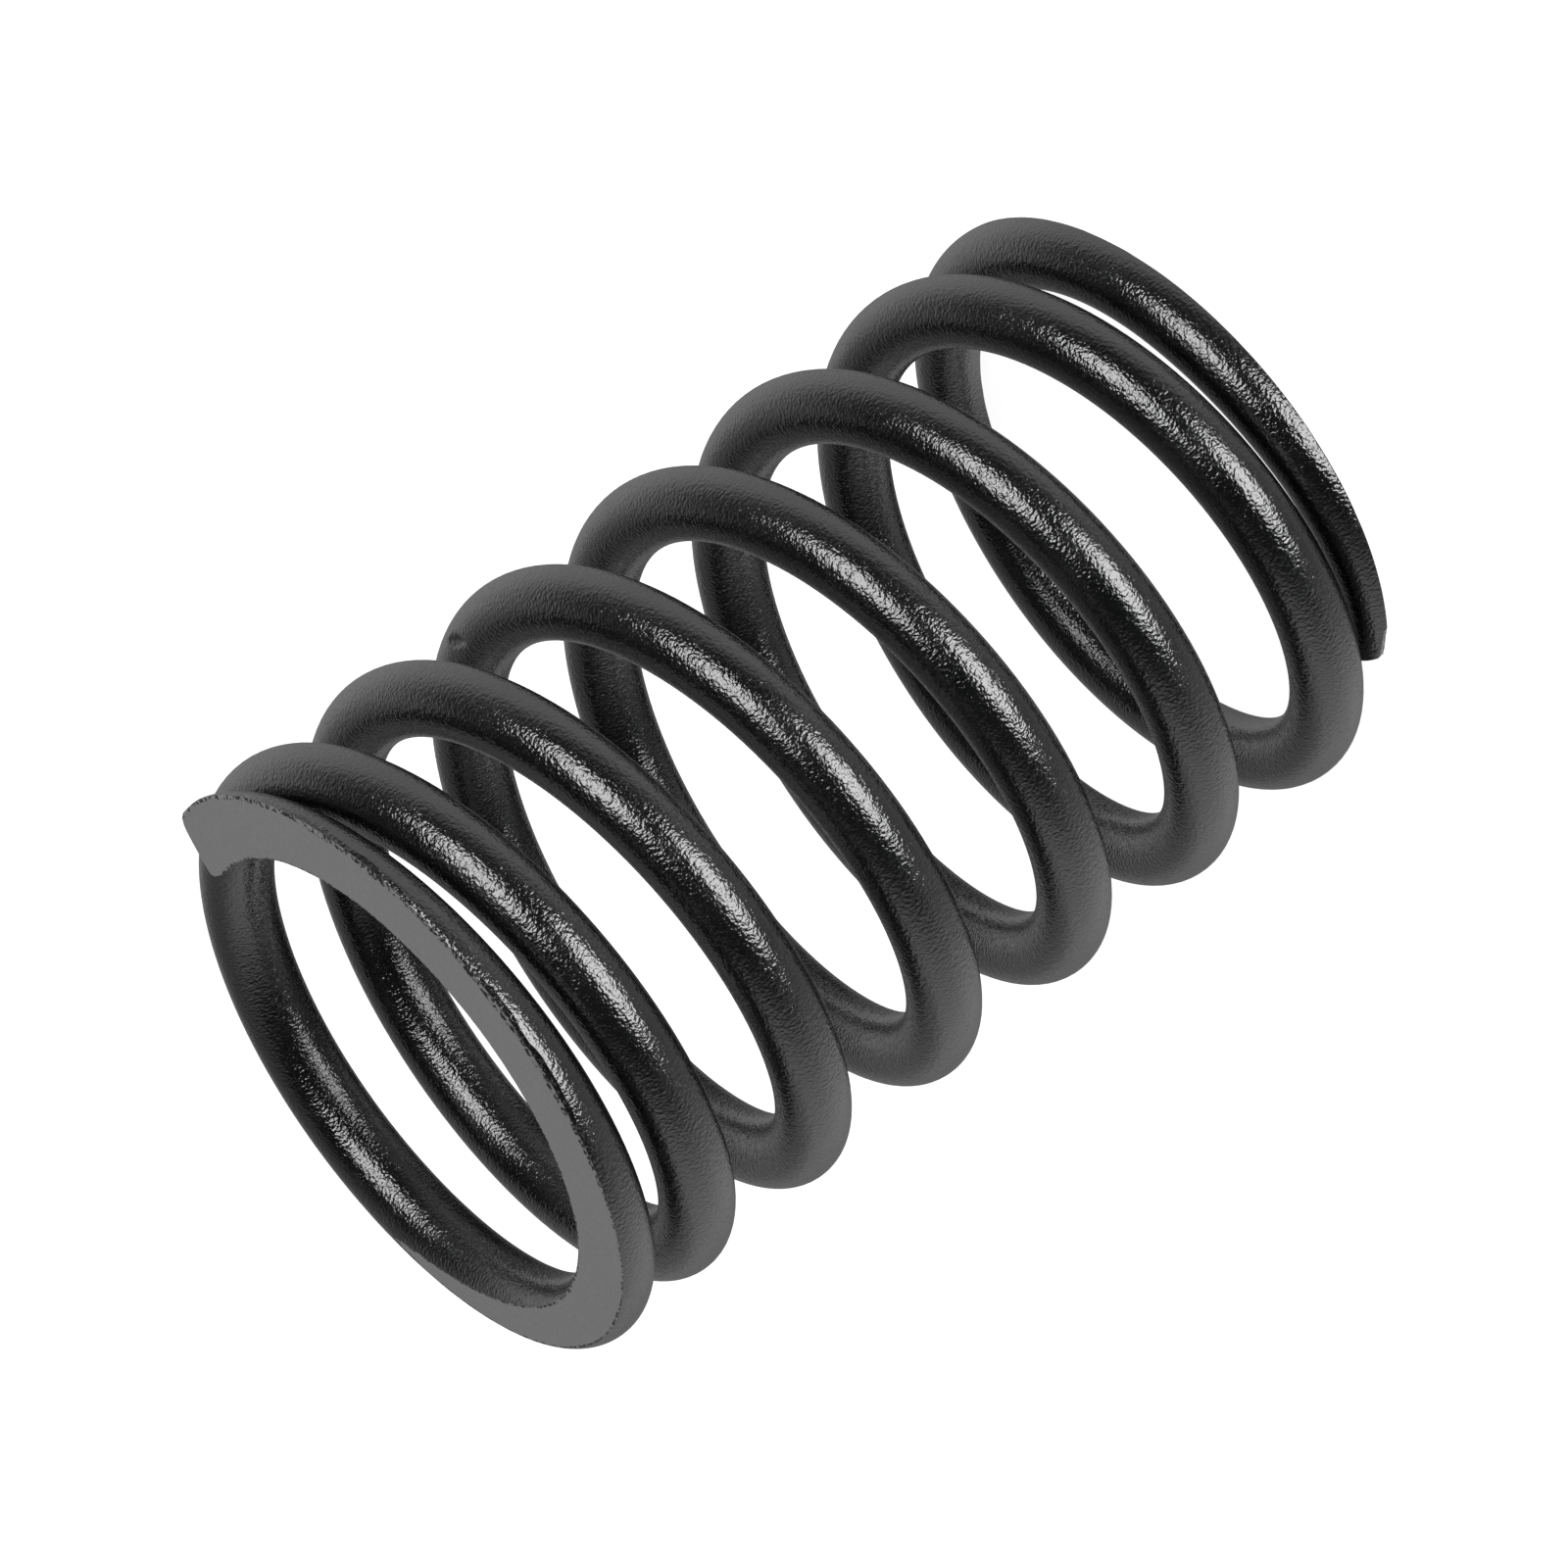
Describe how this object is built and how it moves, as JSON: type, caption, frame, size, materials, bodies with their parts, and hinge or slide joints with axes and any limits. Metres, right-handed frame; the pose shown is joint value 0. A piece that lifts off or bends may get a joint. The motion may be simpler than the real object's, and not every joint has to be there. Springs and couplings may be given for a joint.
{
  "type": "valve spring",
  "caption": "Helical compression spring of round wire with closed, ground ends and closer coils near one end.",
  "frame": {"origin": "on the spring's axis, in the plane of the lower ground face that it stands on", "axes": "+Z along the spring's axis, from the lower ground face to the upper one, where the coils are closer; +X from the axis towards the wire's lower tip"},
  "size_m": [0.04, 0.04, 0.0636],
  "materials": {
    "spring_wire": "black satin coat over shot-peened wire, with the end faces ground to bare dull grey steel"
  },
  "bodies": {
    "root": {"valve_spring": "spring_wire"}
  },
  "joints": []
}
